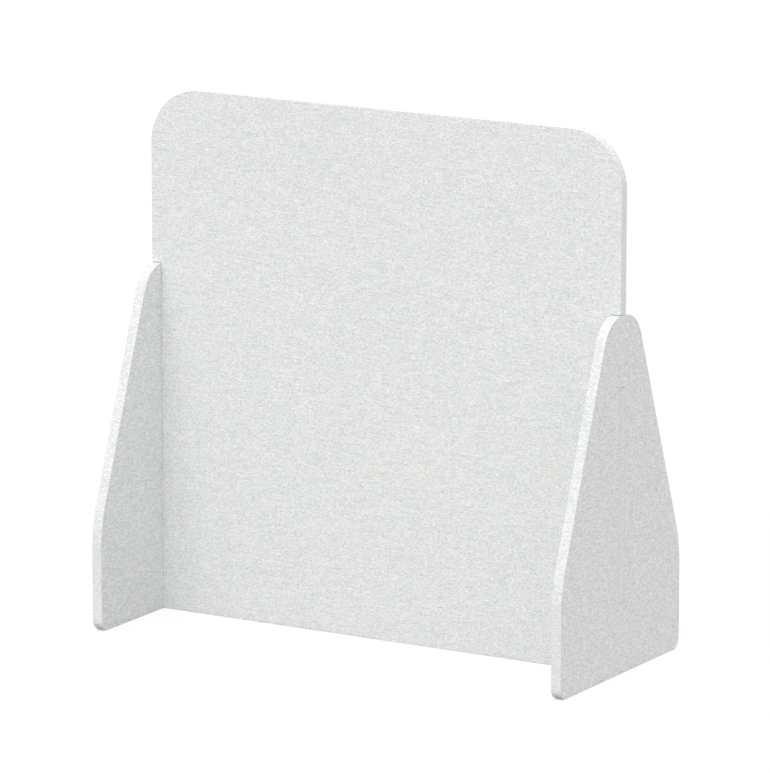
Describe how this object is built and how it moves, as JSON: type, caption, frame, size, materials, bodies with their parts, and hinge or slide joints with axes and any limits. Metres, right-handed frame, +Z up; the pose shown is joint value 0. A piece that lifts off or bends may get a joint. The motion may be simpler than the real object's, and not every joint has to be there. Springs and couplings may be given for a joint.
{
  "type": "acoustic divider screen",
  "caption": "Free-standing felt acoustic screen: a wide upright board with rounded top corners, its tenons passing through upright tapered side feet.",
  "frame": {"origin": "on the floor, at the middle of the screen's width and depth", "axes": "+X along the screen to the right as seen from the front, +Y from the front to the back, +Z up from the floor"},
  "size_m": [1.2, 0.54, 1.2],
  "materials": {
    "panel_felt": "matte",
    "foot_felt": "matte"
  },
  "bodies": {
    "panel": {"main_panel": "panel_felt"},
    "left_foot": {"left_foot": "foot_felt"},
    "right_foot": {"right_foot": "foot_felt"}
  },
  "joints": [
    {"name": "left_foot_slide", "type": "slide", "parent": "panel", "child": "left_foot", "axis": [-1, 0, 0], "range_m": [0, 0.06]},
    {"name": "right_foot_slide", "type": "slide", "parent": "panel", "child": "right_foot", "axis": [1, 0, 0], "range_m": [0, 0.06]}
  ]
}
